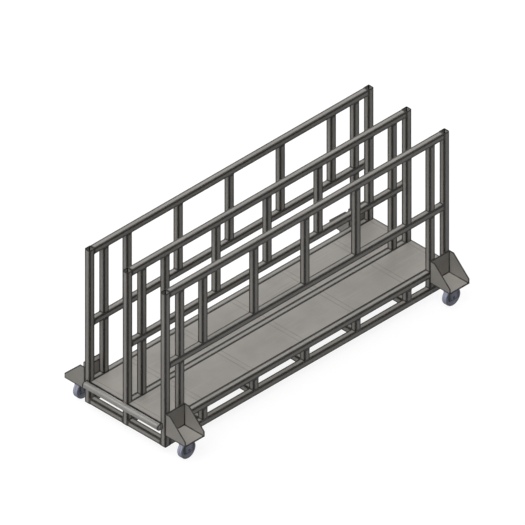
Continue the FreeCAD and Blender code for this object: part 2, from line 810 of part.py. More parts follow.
# End plates of the roller, welded to the corner posts with their outer faces on the posts' centre lines
plate_outline = section("end_plate_outline")
plate_nose = "sizes.roller_gap + layout.roller_radius"
round_nosed(plate_outline, "0", plate_nose, "layout.roller_radius")
circle(plate_outline, "sizes.roller_axle_diameter / 2 + sizes.running_clearance", plate_nose)
plate_turn = FreeCAD.Rotation(-X_AXIS, Z_AXIS, Y_AXIS, "XYZ")
end_plates = [
    extrude(
        "roller_end_plate",
        plate_outline,
        "sizes.end_plate_thickness",
        "layout.middle_x - layout.end_face",
        f"{outward} * (sizes.bay_pitch - sizes.end_plate_thickness / 2)",
        "layout.roller_z",
        plate_turn,
    )
    for outward in SIDES.values()
]
group("roller_end_plates", end_plates)

doc.recompute()

# Every object has to be sound before anything is written
for thing in doc.Objects:
    if "Invalid" in thing.State or "Error" in thing.State:
        raise SystemExit(f"{thing.Label} failed: {thing.State}")
for label, thing in nodes.items():
    if thing.Shape.isNull() or not thing.Shape.isValid() or not thing.Shape.Solids:
        raise SystemExit(f"{label} has no sound solid")

os.makedirs("parts", exist_ok=True)
for label, thing in nodes.items():
    thing.Shape.exportStep(os.path.join("parts", f"{label}.step"))
print(f"{len(nodes)} sub-parts, {sum(len(thing.Shape.Solids) for thing in nodes.values())} solids")
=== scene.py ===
import math

import bmesh
import bpy
from mathutils import Matrix, Vector


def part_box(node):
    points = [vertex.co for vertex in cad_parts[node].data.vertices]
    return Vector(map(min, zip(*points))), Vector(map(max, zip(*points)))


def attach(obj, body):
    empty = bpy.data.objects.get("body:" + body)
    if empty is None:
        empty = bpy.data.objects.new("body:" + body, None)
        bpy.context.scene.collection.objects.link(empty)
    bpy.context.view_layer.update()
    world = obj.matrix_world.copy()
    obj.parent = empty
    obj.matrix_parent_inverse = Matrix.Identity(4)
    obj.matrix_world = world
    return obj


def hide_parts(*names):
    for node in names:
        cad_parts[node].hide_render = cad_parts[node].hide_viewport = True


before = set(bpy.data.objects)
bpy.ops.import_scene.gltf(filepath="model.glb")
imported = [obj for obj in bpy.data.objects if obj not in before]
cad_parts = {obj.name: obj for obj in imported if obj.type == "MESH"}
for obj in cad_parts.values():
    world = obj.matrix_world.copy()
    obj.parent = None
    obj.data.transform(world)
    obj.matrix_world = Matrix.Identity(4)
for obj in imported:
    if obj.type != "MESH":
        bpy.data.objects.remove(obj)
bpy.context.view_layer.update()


# Ladder frames: the posts, rails, studs and stub posts of the three upright frames.
# Square steel tube with rolled corners, cut to length and painted a warm satin grey, darker on the rails as
# painted shade.
# Roll marks run along each tube, its corners are rubbed dark, and dust settles on the lower members.
grey_paint = (0.3, 0.286, 0.264)
# The rails' grey is a darker copy of the frame grey: painted shade set against the brighter light the rails
# catch.
shaded_rail_paint = (0.277, 0.264, 0.244)
dust_colour = (0.36, 0.335, 0.3)


def put(tree, kind, inputs=None, **settings):
    """Add a node, and fill its inputs with values or with the sockets of other nodes."""
    made = tree.nodes.new(kind)
    for name, value in settings.items():
        setattr(made, name, value)
    for name, value in (inputs or {}).items():
        if isinstance(value, bpy.types.NodeSocket):
            tree.links.new(value, made.inputs[name])
        else:
            made.inputs[name].default_value = value
    return made


def reckon(tree, operation, first, second=0.0, third=0.0):
    """One sum of the node tree, as a socket."""
    return put(tree, "ShaderNodeMath", {0: first, 1: second, 2: third}, operation=operation).outputs[0]


def ranged(tree, value, low, high, to_low=0.0, to_high=1.0):
    """A value carried from one range to another, with soft ends."""
    made = put(
        tree,
        "ShaderNodeMapRange",
        {"Value": value, "From Min": low, "From Max": high, "To Min": to_low, "To Max": to_high},
        interpolation_type="SMOOTHSTEP",
    )
    return made.outputs["Result"]


def blended(tree, amount, first, second, kind="MIX"):
    """Two colours mixed, as a socket."""
    made = put(tree, "ShaderNodeMix", data_type="RGBA", blend_type=kind)
    for socket, value in zip(("Factor_Float", "A_Color", "B_Color"), (amount, first, second)):
        target = next(entry for entry in made.inputs if entry.identifier == socket)
        if isinstance(value, bpy.types.NodeSocket):
            tree.links.new(value, target)
        else:
            target.default_value = value
    return next(entry for entry in made.outputs if entry.identifier == "Result_Color")


def speckle(tree, vector, scale, detail=3.0):
    """Cloudy noise of a given fineness, as a socket from 0 to 1."""
    made = put(tree, "ShaderNodeTexNoise", {"Vector": vector, "Scale": scale, "Detail": detail})
    return made.outputs["Fac"]


def effect(name, inputs, outputs):
    """An empty node group with named sockets, and its two ends."""
    tree = bpy.data.node_groups.new(name, "ShaderNodeTree")
    for title, kind in inputs.items():
        tree.interface.new_socket(title, in_out="INPUT", socket_type=kind)
    for title, kind in outputs.items():
        tree.interface.new_socket(title, in_out="OUTPUT", socket_type=kind)
    return tree, tree.nodes.new("NodeGroupInput").outputs, tree.nodes.new("NodeGroupOutput").inputs


# Wear of painted and bare steel: cloudy tone, streaks along the stock, fine grain and settled dust
shop_wear, given, result = effect(
    "shop_wear",
    {
        "Place": "NodeSocketVector",
        "Streak": "NodeSocketVector",
        "Colour": "NodeSocketColor",
        "Roughness": "NodeSocketFloat",
        "Streaks": "NodeSocketFloat",
        "Dust": "NodeSocketFloat",
    },
    {"Colour": "NodeSocketColor", "Roughness": "NodeSocketFloat", "Height": "NodeSocketFloat"},
)
cloud = speckle(shop_wear, given["Place"], 3.1, 5.0)
grain = speckle(shop_wear, given["Place"], 420.0, 2.0)
streak = ranged(shop_wear, speckle(shop_wear, given["Streak"], 1.0, 6.0), 0.54, 0.74)
streak = reckon(shop_wear, "MULTIPLY", streak, given["Streaks"])
height_above_floor = put(shop_wear, "ShaderNodeSeparateXYZ", {"Vector": given["Place"]}).outputs["Z"]
settled = ranged(shop_wear, height_above_floor, 0.05, 0.75, 1.0, 0.12)
blotches = ranged(shop_wear, speckle(shop_wear, given["Place"], 9.0), 0.38, 0.72)
settled = reckon(shop_wear, "MULTIPLY", settled, blotches)
settled = reckon(shop_wear, "MULTIPLY", settled, given["Dust"])
tone = put(shop_wear, "ShaderNodeCombineColor")
for channel in ("Red", "Green", "Blue"):
    shop_wear.links.new(ranged(shop_wear, cloud, 0.3, 0.7, 0.93, 1.07), tone.inputs[channel])
worn = blended(shop_wear, 1.0, given["Colour"], tone.outputs["Color"], "MULTIPLY")
brighter = blended(shop_wear, 1.0, given["Colour"], (1.3, 1.3, 1.31, 1.0), "MULTIPLY")
worn = blended(shop_wear, streak, worn, brighter)
worn = blended(shop_wear, settled, worn, (*dust_colour, 1.0))
shop_wear.links.new(worn, result["Colour"])
matt = reckon(shop_wear, "MULTIPLY_ADD", grain, 0.14, given["Roughness"])
matt = reckon(shop_wear, "MULTIPLY_ADD", settled, 0.25, matt)
shop_wear.links.new(reckon(shop_wear, "MULTIPLY_ADD", streak, -0.12, matt), result["Roughness"])
shop_wear.links.new(reckon(shop_wear, "MULTIPLY_ADD", streak, 0.4, grain), result["Height"])


# Rubbed edges: dark steel where the finish is worn off rolled corners and cut edges, and painted shade in
# concave corners and creases
dark_steel_and_shade = (0.011, 0.0105, 0.01)
edge_wear_and_shade, given, result = effect(
    "edge_wear_and_shade",
    {
        "Place": "NodeSocketVector",
        "Corners": "NodeSocketFloat",
        "Edges": "NodeSocketFloat",
        "Breadth": "NodeSocketFloat",
        "Onset": "NodeSocketFloat",
    },
    {"Mask": "NodeSocketFloat"},
)
facing = put(edge_wear_and_shade, "ShaderNodeTexCoord").outputs["Normal"]
facing = put(edge_wear_and_shade, "ShaderNodeVectorMath", {0: facing}, operation="ABSOLUTE").outputs["Vector"]
sides = put(edge_wear_and_shade, "ShaderNodeSeparateXYZ", {"Vector": facing}).outputs
squarest = reckon(edge_wear_and_shade, "MAXIMUM", reckon(edge_wear_and_shade, "MAXIMUM", sides["X"], sides["Y"]), sides["Z"])
corner = reckon(edge_wear_and_shade, "MULTIPLY", ranged(edge_wear_and_shade, squarest, 0.975, 0.9995, 1.0, 0.0), given["Corners"])
# The bevel mask catches concave corners and creases as well as worn edges; there its darkening is painted
# shade.
softened = put(edge_wear_and_shade, "ShaderNodeBevel", {"Radius": given["Breadth"]}, samples=16).outputs["Normal"]
flat = put(edge_wear_and_shade, "ShaderNodeNewGeometry").outputs["Normal"]
likeness = put(edge_wear_and_shade, "ShaderNodeVectorMath", {0: softened, 1: flat}, operation="DOT_PRODUCT")
likeness = likeness.outputs["Value"]
ragged = ranged(edge_wear_and_shade, speckle(edge_wear_and_shade, given["Place"], 150.0), 0.3, 0.7, 0.4, 1.6)
bend = reckon(edge_wear_and_shade, "MULTIPLY", reckon(edge_wear_and_shade, "SUBTRACT", 1.0, likeness), ragged)
edge = reckon(edge_wear_and_shade, "MULTIPLY", ranged(edge_wear_and_shade, bend, 0.0003, given["Onset"]), given["Edges"])
patchy = ranged(edge_wear_and_shade, speckle(edge_wear_and_shade, given["Place"], 55.0), 0.3, 0.6, 0.93, 1.0)
rubbed_and_shaded = reckon(edge_wear_and_shade, "MULTIPLY", reckon(edge_wear_and_shade, "MAXIMUM", corner, edge), patchy)
edge_wear_and_shade.links.new(rubbed_and_shaded, result["Mask"])


def steel_finish(
    name, colour, streak_scale, roughness, metallic=0.0, streaks=0.25, dust=0.3, bump=0.0003, gloss=0.25,
    corners=0.0, edges=0.0, breadth=0.003, onset=0.003,
):
    """A worn steel surface, its streaks drawn out by the scale of each axis, its edges rubbed dark and its
    creases given painted shade.
    """
    material = bpy.data.materials.new(name)
    material.use_nodes = True
    tree = material.node_tree
    shader = tree.nodes["Principled BSDF"]
    place = put(tree, "ShaderNodeTexCoord").outputs["Object"]
    drawn = put(tree, "ShaderNodeMapping", {"Vector": place, "Scale": streak_scale}).outputs["Vector"]
    surface = {"Colour": (*colour, 1.0), "Roughness": roughness, "Streaks": streaks, "Dust": dust}
    wear = put(tree, "ShaderNodeGroup", {"Place": place, "Streak": drawn, **surface}, node_tree=shop_wear)
    finish = wear.outputs["Colour"]
    if corners or edges:
        extent = {"Place": place, "Corners": corners, "Edges": edges, "Breadth": breadth, "Onset": onset}
        mask = put(tree, "ShaderNodeGroup", extent, node_tree=edge_wear_and_shade).outputs["Mask"]
        finish = blended(tree, mask, finish, (*dark_steel_and_shade, 1.0))
    tree.links.new(finish, shader.inputs["Base Color"])
    tree.links.new(wear.outputs["Roughness"], shader.inputs["Roughness"])
    grain_relief = {"Strength": 0.5, "Distance": bump, "Height": wear.outputs["Height"]}
    relief = put(tree, "ShaderNodeBump", grain_relief)
    tree.links.new(relief.outputs["Normal"], shader.inputs["Normal"])
    shader.inputs["Metallic"].default_value = metallic
    shader.inputs["Specular IOR Level"].default_value = gloss
    return material


def clad(material, *nodes):
    """Give CAD nodes their finish."""
    for name in nodes:
        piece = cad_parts[name]
        piece.data.materials.clear()
        piece.data.materials.append(material)


drawn_out, fine = 2.5, 90.0
rolled_corners = {"corners": 1.0, "edges": 1.0, "breadth": 0.02}
paint_along_x = steel_finish(
    "shaded_grey_paint_on_rails", shaded_rail_paint, (drawn_out, fine, fine), 0.5, **rolled_corners
)
paint_along_y = steel_finish(
    "grey_paint_on_cross_tubes", grey_paint, (fine, drawn_out, fine), 0.5, **rolled_corners
)
paint_along_z = steel_finish(
    "grey_paint_on_uprights", grey_paint, (fine, fine, drawn_out), 0.5, **rolled_corners
)

# The open post tops have a dark rubbed rim; inside them the painted shade of the edge mask is mostly lifted,
# but kept in the corners
paint_on_posts = steel_finish(
    "grey_paint_on_posts", grey_paint, (fine, fine, drawn_out), 0.5, **rolled_corners
)
rim_depth, rim_fade, spared_share = 0.007, 0.003, 0.85
inside_share, corner_share = 0.95, 0.65
tree = paint_on_posts.node_tree
place = put(tree, "ShaderNodeTexCoord").outputs["Object"]
place = put(tree, "ShaderNodeSeparateXYZ", {"Vector": place}).outputs
low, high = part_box("middle_posts")
half_post = high.y
next_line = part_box("rear_posts")[1].y - half_post
along = reckon(tree, "ABSOLUTE", reckon(tree, "SUBTRACT", place["X"], (low.x + high.x) / 2))
off_post = reckon(tree, "ABSOLUTE", reckon(tree, "SUBTRACT", along, (high.x - low.x) / 2 - half_post))
line = reckon(tree, "ROUND", reckon(tree, "DIVIDE", place["Y"], next_line))
line = reckon(tree, "MULTIPLY", line, next_line)
off_line = reckon(tree, "ABSOLUTE", reckon(tree, "SUBTRACT", place["Y"], line))
farther = reckon(tree, "MAXIMUM", off_post, off_line)
nearer = reckon(tree, "MINIMUM", off_post, off_line)
inside = reckon(tree, "LESS_THAN", farther, inside_share * half_post)
off_corner = reckon(tree, "LESS_THAN", nearer, corner_share * half_post)
sheltered = reckon(tree, "MULTIPLY", inside, off_corner)
rim = ranged(tree, place["Z"], high.z - rim_depth - rim_fade, high.z - rim_depth)
rubbed_and_shaded = tree.nodes["Principled BSDF"].inputs["Base Color"].links[0].from_node
amount = next(entry for entry in rubbed_and_shaded.inputs if entry.identifier == "Factor_Float")
share_left = reckon(tree, "MULTIPLY_ADD", sheltered, -spared_share, 1.0)
darkened_share = reckon(tree, "MULTIPLY", amount.links[0].from_socket, share_left)
tree.links.new(reckon(tree, "MAXIMUM", darkened_share, rim), amount)

ladder_names = ("front", "middle", "rear")
rail_levels = ("bottom", "deck", "mid", "top")
for ladder in ladder_names:
    clad(paint_along_x, *(f"{ladder}_{level}_rail" for level in rail_levels))
    clad(paint_on_posts, f"{ladder}_posts")
    clad(paint_along_z, f"{ladder}_upper_studs", f"{ladder}_stub_posts")
clad(paint_along_z, "lower_studs")


# Welds of the ladder frames: a bead of weld metal around every tube end, dark with grime.
# Each ring is a squared loop of bead with a low crown, laid where one tube butts on another.
bead_half, bead_crown, bead_root, bead_corner = 0.0035, 0.0018, 0.0006, 0.006
tube_half = 0.03


def clear_picks():
    bpy.ops.object.select_all(action="DESELECT")


clear_picks()
bpy.ops.mesh.primitive_plane_add(size=2 * (tube_half - bead_root))
weld_ring = bpy.context.active_object
bpy.ops.object.mode_set(mode="EDIT")
bpy.ops.mesh.bevel(affect="VERTICES", offset=bead_corner, segments=2)
bpy.ops.mesh.delete(type="ONLY_FACE")
bpy.ops.mesh.select_all(action="SELECT")
bpy.ops.transform.translate(value=(0, 0, -bead_half))
swell = (tube_half + bead_crown) / (tube_half - bead_root)
for rise, spread in ((0.4 * bead_half, swell), (1.2 * bead_half, 1.0), (0.4 * bead_half, 1 / swell)):
    bpy.ops.mesh.extrude_edges_move(TRANSFORM_OT_translate={"value": (0, 0, rise)})
    bpy.ops.transform.resize(value=(spread, spread, 1), center_override=(0, 0, 0))
bpy.ops.mesh.select_all(action="DESELECT")
bpy.ops.mesh.select_non_manifold()
bpy.ops.mesh.bridge_edge_loops()
bpy.ops.mesh.select_all(action="SELECT")
bpy.ops.mesh.normals_make_consistent(inside=False)
bpy.ops.object.mode_set(mode="OBJECT")


def coated(piece, material, angle=35.0):
    """Give a modelled piece its finish and its smooth shading."""
    piece.data.materials.clear()
    piece.data.materials.append(material)
    clear_picks()
    piece.select_set(True)
    bpy.context.view_layer.objects.active = piece
    bpy.ops.object.shade_smooth_by_angle(angle=math.radians(angle))
    return piece


def set_out(name, pieces, material):
    """Join placed copies into one named piece."""
    clear_picks()
    for piece in pieces:
        piece.select_set(True)
    bpy.context.view_layer.objects.active = pieces[0]
    if len(pieces) > 1:
        bpy.ops.object.join()
    pieces[0].name = name
    pieces[0].data.name = name
    return coated(pieces[0], material)


def copied(pattern, place):
    """A copy of a pattern piece with its own mesh, moved to its place."""
    piece = pattern.copy()
    piece.data = pattern.data.copy()
    piece.data.transform(place)
    bpy.context.scene.collection.objects.link(piece)
    return piece


def at(x, y, z):
    return Matrix.Translation((x, y, z))


lengthwise = Matrix.Rotation(math.pi / 2, 4, "Y")
crosswise = Matrix.Rotation(math.pi / 2, 4, "X")
frames_middle, stud_pitch, end_stud = 0.032, 0.607, 1.49
inner_studs = [frames_middle + step * stud_pitch for step in range(-2, 3)]
outer_studs = [frames_middle - end_stud, frames_middle + end_stud]
weld_colour = (0.035, 0.033, 0.031)
weld_paint = steel_finish(
    "grimy_weld_metal", weld_colour, (160.0, 160.0, 160.0), 0.42, streaks=0.5, bump=0.0012
)
for ladder in ladder_names:
    rails = {level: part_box(f"{ladder}_{level}_rail") for level in rail_levels}
    across = (rails["top"][0].y + rails["top"][1].y) / 2
    rings = []
    for low, high in rails.values():
        level = (low.z + high.z) / 2
        rings += [copied(weld_ring, at(end, across, level) @ lengthwise) for end in (low.x, high.x)]
    bays = (
        ("bottom", "deck", inner_studs + outer_studs),
        ("deck", "mid", outer_studs),
        ("mid", "top", inner_studs + outer_studs),
    )
    for under, over, studs in bays:
        for level in (rails[under][1].z, rails[over][0].z):
            rings += [copied(weld_ring, at(stud, across, level)) for stud in studs]
    welds = set_out(f"{ladder}_frame_welds", rings, weld_paint)
    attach(welds, "frame")


# Cross tubes: short lengths of the same tube that tie the three frames together under the decks.
# They are welded between the bottom rails and between the deck rails, with the same beads at both ends.
clad(paint_along_y, "bottom_cross_tubes", "bottom_end_tubes", "deck_cross_tubes", "deck_end_tubes")
post_reach, frame_pitch = 1.66, 0.45
post_places = [frames_middle - post_reach, frames_middle + post_reach]
side_faces = [tube_half - frame_pitch, -tube_half, tube_half, frame_pitch - tube_half]
for level in ("bottom", "deck"):
    low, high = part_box(f"{level}_cross_tubes")
    rings = [
        copied(weld_ring, at(x, face, (low.z + high.z) / 2) @ crosswise)
        for x in inner_studs + post_places
        for face in side_faces
    ]
    welds = set_out(f"{level}_cross_tube_welds", rings, weld_paint)
    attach(welds, "frame")
bpy.data.objects.remove(weld_ring)


# Deck sheets: one long steel sheet in each bay, laid on the cross tubes and level with the deck rails.
# Panels slide along them, so they are scuffed lengthwise; along their sides and ends they darken as grime and
# as painted shade in the joints.
# Faint heat lines show over each cross tube.
bay_centre, sheet_half, sheet_reach, joint_darkening_breadth = 0.225, 0.194, 1.69, 0.009
heat_line_offset, heat_colour = 0.024, (0.17, 0.16, 0.148)
deck_paint = steel_finish(
    "scuffed_deck_paint",
    grey_paint,
    (1.6, 60.0, 60.0),
    0.46,
    streaks=0.35,
    dust=0.25,
    edges=1.0,
    breadth=0.009,
)
tree = deck_paint.node_tree
shader = tree.nodes["Principled BSDF"]
place = put(tree, "ShaderNodeTexCoord").outputs["Object"]
along = put(tree, "ShaderNodeSeparateXYZ", {"Vector": place}).outputs["X"]
along = reckon(tree, "SUBTRACT", along, frames_middle)
nearest = reckon(tree, "ROUND", reckon(tree, "DIVIDE", along, stud_pitch))
nearest = reckon(tree, "MULTIPLY", nearest, stud_pitch)
from_tube = reckon(tree, "ABSOLUTE", reckon(tree, "SUBTRACT", along, nearest))
from_end = reckon(tree, "SUBTRACT", reckon(tree, "ABSOLUTE", along), post_reach)
from_end = reckon(tree, "ABSOLUTE", from_end)
heat_lines = 0.0
for distance in (from_tube, from_end):
    off_edge = reckon(tree, "ABSOLUTE", reckon(tree, "SUBTRACT", distance, heat_line_offset))
    heat_lines = reckon(tree, "ADD", ranged(tree, off_edge, 0.0012, 0.0036, 1.0, 0.0), heat_lines)
uneven = ranged(tree, speckle(tree, place, 14.0), 0.3, 0.6, 0.45, 1.0)
heat_lines = reckon(tree, "MULTIPLY", heat_lines, uneven)
bare = shader.inputs["Base Color"].links[0].from_socket
tinted = blended(tree, heat_lines, bare, (*heat_colour, 1.0))
# A dark band along the sheet's sides and ends: part grime, part painted shade in the joint with the rails.
across = reckon(tree, "ABSOLUTE", put(tree, "ShaderNodeSeparateXYZ", {"Vector": place}).outputs["Y"])
off_centre = reckon(tree, "ABSOLUTE", reckon(tree, "SUBTRACT", across, bay_centre))
grime_and_joint_shade = ranged(tree, off_centre, sheet_half - joint_darkening_breadth, sheet_half - 0.4 * joint_darkening_breadth)
from_middle = reckon(tree, "ABSOLUTE", along)
at_ends = ranged(tree, from_middle, sheet_reach - 1.6 * joint_darkening_breadth, sheet_reach - joint_darkening_breadth)
grime_and_joint_shade = reckon(tree, "MAXIMUM", grime_and_joint_shade, at_ends)
patchy = ranged(tree, speckle(tree, place, 40.0), 0.3, 0.6, 0.75, 1.0)
grime_and_joint_shade = reckon(tree, "MULTIPLY", grime_and_joint_shade, patchy)
tree.links.new(blended(tree, grime_and_joint_shade, tinted, (*dark_steel_and_shade, 1.0)), shader.inputs["Base Color"])
clad(deck_paint, "front_deck_sheet", "rear_deck_sheet")


# Groove shade: a dark strip along both sides of each deck sheet, laid in the groove beside the rolled rail
# corner as painted shade.
# It sits a little below the top, so nothing that slides on the deck touches it.
groove_shade_colour = (0.03, 0.029, 0.028)
groove_shade_finish = steel_finish(
    "dark_groove_shade", groove_shade_colour, (12.0, 200.0, 200.0), 0.7, streaks=0.2, dust=0.1, gloss=0.1
)
groove_breadth, groove_depth, sunk, tucked_in = 0.0063, 0.0025, 0.0011, 0.0002
runs = []
for sheet in ("front_deck_sheet", "rear_deck_sheet"):
    low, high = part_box(sheet)
    for side, way in ((low.y, -1), (high.y, 1)):
        clear_picks()
        bpy.ops.mesh.primitive_cube_add(size=1.0)
        run = bpy.context.active_object
        run.data.transform(Matrix.Diagonal((high.x - low.x, groove_breadth, groove_depth, 1.0)))
        middle = (low.x + high.x) / 2
        across = side + way * (groove_breadth / 2 - tucked_in)
        run.data.transform(at(middle, across, high.z - sunk - groove_depth / 2))
        runs.append(run)
deck_groove_shade = set_out("deck_groove_shade_strip", runs, groove_shade_finish)
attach(deck_groove_shade, "frame")


# Stitch welds of the decks: short beads under the sheets, along both sides of every cross tube.
# They hold the sheet down without marking its top, and are seen only from below.
def straight_bead(length, radius):
    """A straight bead along Z with drawn-in ends."""
    clear_picks()
    bpy.ops.mesh.primitive_cylinder_add(vertices=8, radius=radius, depth=length - 2 * radius)
    bead = bpy.context.active_object
    bpy.ops.object.mode_set(mode="EDIT")
    bpy.ops.mesh.select_mode(type="FACE")
    for way in (-1, 1):
        bpy.ops.mesh.select_all(action="DESELECT")
        mesh = bmesh.from_edit_mesh(bead.data)
        for face in mesh.faces:
            face.select_set(face.normal.z * way > 0.9)
        bmesh.update_edit_mesh(bead.data)
        middle = (0, 0, way * length / 2)
        bpy.ops.mesh.extrude_region_move(TRANSFORM_OT_translate={"value": (0, 0, way * radius)})
        bpy.ops.transform.resize(value=(0.4, 0.4, 1), center_override=middle)
    bpy.ops.object.mode_set(mode="OBJECT")
    return bead


stitch_length, stitch_radius, stitch_spacing = 0.04, 0.0045, 0.13
stitch_offset, stitch_height = 0.0295, 0.302
stitch = straight_bead(stitch_length, stitch_radius)
stitches = []
for bay_middle in (-bay_centre, bay_centre):
    for tube in inner_studs:
        for side in (-1, 1):
            for across in (-stitch_spacing, 0.0, stitch_spacing):
                place = at(tube + side * stitch_offset, bay_middle + across, stitch_height)
                stitches.append(copied(stitch, place @ crosswise))
bpy.data.objects.remove(stitch)
deck_stitches = set_out("deck_stitch_welds", stitches, weld_paint)
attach(deck_stitches, "frame")


# Outrigger brackets: at each corner a back plate, a base plate and two slanted cheeks carry a caster.
# Laser-cut steel plate, welded inside along every seam, then to the post and the end stud.
# They are painted with the frame, over the bolt ends in their trays.
plate_streaks = (22.0, 22.0, 22.0)
plate_wear = {"streaks": 0.18, "dust": 0.2, "edges": 1.0}
bracket_paint = steel_finish(
    "grey_paint_on_brackets", grey_paint, plate_streaks, 0.5, breadth=0.018, **plate_wear
)
hole_facet, filed_width = 0.006, 0.0008


def eased(name, node, width, material, filled_holes=False):
    """A cut plate or set of plates with its edges eased by a file."""
    piece = bpy.data.objects.new(name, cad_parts[node].data.copy())
    bpy.context.scene.collection.objects.link(piece)
    clear_picks()
    piece.select_set(True)
    bpy.context.view_layer.objects.active = piece
    bpy.ops.object.mode_set(mode="EDIT")
    bpy.ops.mesh.select_all(action="SELECT")
    bpy.ops.mesh.remove_doubles(threshold=0.00001)
    if filled_holes:
        bpy.ops.mesh.select_mode(type="FACE")
        bpy.ops.mesh.select_all(action="DESELECT")
        mesh = bmesh.from_edit_mesh(piece.data)
        for face in mesh.faces:
            upright = abs(face.normal.z) < 0.1
            face.select_set(upright and min(edge.calc_length() for edge in face.edges) < hole_facet)
        bmesh.update_edit_mesh(piece.data)
        bpy.ops.mesh.delete(type="FACE")
        bpy.ops.mesh.select_all(action="SELECT")
        bpy.ops.mesh.fill_holes(sides=0)
        bpy.ops.mesh.select_all(action="SELECT")
    bpy.ops.mesh.dissolve_limited(angle_limit=math.radians(1.0))
    bpy.ops.object.mode_set(mode="OBJECT")
    filed = piece.modifiers.new("filed", "BEVEL")
    filed.width = width
    filed.segments = 1
    filed.angle_limit = math.radians(40.0)
    filed.use_clamp_overlap = False
    bpy.ops.object.modifier_apply(modifier="filed")
    coated(piece, material)
    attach(piece, "frame")
    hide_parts(node)


for name in ("back_plates", "base_plates", "cheeks"):
    tapped = name == "base_plates"
    eased(f"filed_{name}", f"bracket_{name}", filed_width, bracket_paint, filled_holes=tapped)
bracket_reach = 1.575
bracket_places = {"roller_end": frames_middle - bracket_reach, "far_end": frames_middle + bracket_reach}
outward_sides = {"front": -1, "rear": 1}
seam_radius, tray_half, back_face, tray_floor = 0.005, 0.109, 0.488, 0.21
floor_length, back_length, upright_length, post_length = 0.231, 0.215, 0.214, 0.038
floor_middle, upright_middle = 0.1165, 0.109
post_seam_places, post_seam_face, post_seam_height = (1.655, 1.493), 0.48, 0.43
floor_seam = straight_bead(floor_length, seam_radius)
back_seam = straight_bead(back_length, seam_radius)
upright_seam = straight_bead(upright_length, seam_radius)
post_seam = straight_bead(post_length, seam_radius)
seams = []
for outward in outward_sides.values():
    for toward, bracket in zip((-1, 1), bracket_places.values()):
        for hand in (-1, 1):
            cheek = bracket + hand * tray_half
            on_floor = at(cheek, outward * (back_face + floor_middle), tray_floor)
            seams.append(copied(floor_seam, on_floor @ crosswise))
            seams.append(copied(upright_seam, at(cheek, outward * back_face, tray_floor + upright_middle)))
        seams.append(copied(back_seam, at(bracket, outward * back_face, tray_floor) @ lengthwise))
        for along in post_seam_places:
            top = at(frames_middle + toward * along, outward * post_seam_face, post_seam_height)
            seams.append(copied(post_seam, top @ lengthwise))
for pattern in (floor_seam, back_seam, upright_seam, post_seam):
    bpy.data.objects.remove(pattern)
bracket_welds = set_out("bracket_welds", seams, weld_paint)
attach(bracket_welds, "frame")


# Caster heads: a top plate under each bracket, its ball race and the kingpin that the fork turns on.
# Pressed steel with a blue-grey zinc finish; the balls and the pin are bare ground steel.
zinc_colour = (0.285, 0.31, 0.42)
zinc = steel_finish(
    "blue_grey_zinc",
    zinc_colour,
    (45.0, 45.0, 45.0),
    0.42,
    streaks=0.3,
    dust=0.2,
    edges=1.0,
    breadth=0.011,
    onset=0.009,
)
ground_steel = steel_finish(
    "ground_steel", (0.2, 0.2, 0.21), (120.0, 120.0, 120.0), 0.38, 0.6, streaks=0.3, dust=0.2
)
clad(zinc, "caster_top_plates")
clad(ground_steel, "kingpins", "swivel_balls")


# Caster bolts: four hexagon bolts to each top plate, screwed up into the bracket's base plate.
# Dark plated steel with chamfered heads and a washer face.
# Their ends finish flush with the tray and are painted over.
def hexagon_head(flats, height, face=0.0012, chamfer=0.0011):
    """A hexagon along Z from 0 to its height, with a round face below and chamfered corners above."""
    clear_picks()
    bpy.ops.mesh.primitive_cylinder_add(
        vertices=6, radius=flats / math.sqrt(3), depth=height - face, location=(0, 0, (height + face) / 2)
    )
    head = bpy.context.active_object
    bpy.ops.object.transform_apply(location=True)
    bpy.ops.object.mode_set(mode="EDIT")
    bpy.ops.mesh.select_mode(type="FACE")
    bpy.ops.mesh.select_all(action="DESELECT")
    mesh = bmesh.from_edit_mesh(head.data)
    for part in mesh.faces:
        part.select_set(part.normal.z > 0.9)
    bmesh.update_edit_mesh(head.data)
    bpy.ops.mesh.bevel(offset=chamfer, segments=1, affect="EDGES")
    bpy.ops.object.mode_set(mode="OBJECT")
    clear_picks()
    bpy.ops.mesh.primitive_cylinder_add(
        vertices=24, radius=0.48 * flats, depth=face, location=(0, 0, face / 2)
    )
    washer_face = bpy.context.active_object
    bpy.ops.object.transform_apply(location=True)
    head.select_set(True)
    washer_face.select_set(True)
    bpy.context.view_layer.objects.active = head
    bpy.ops.object.join()
    return head


def round_bar(radius, low, high, chamfer=0.001):
    """A turned bar along Z with chamfered ends."""
    clear_picks()
    bpy.ops.mesh.primitive_cylinder_add(
        vertices=32, radius=radius, depth=high - low, location=(0, 0, (low + high) / 2)
    )
    bar = bpy.context.active_object
    bpy.ops.object.transform_apply(location=True)
    bpy.ops.object.mode_set(mode="EDIT")
    bpy.ops.mesh.select_mode(type="FACE")
    bpy.ops.mesh.select_all(action="DESELECT")
    mesh = bmesh.from_edit_mesh(bar.data)
    for part in mesh.faces:
        part.select_set(abs(part.normal.z) > 0.9)
    bmesh.update_edit_mesh(bar.data)
    bpy.ops.mesh.bevel(offset=chamfer, segments=1, affect="EDGES")
    bpy.ops.object.mode_set(mode="OBJECT")
    return bar


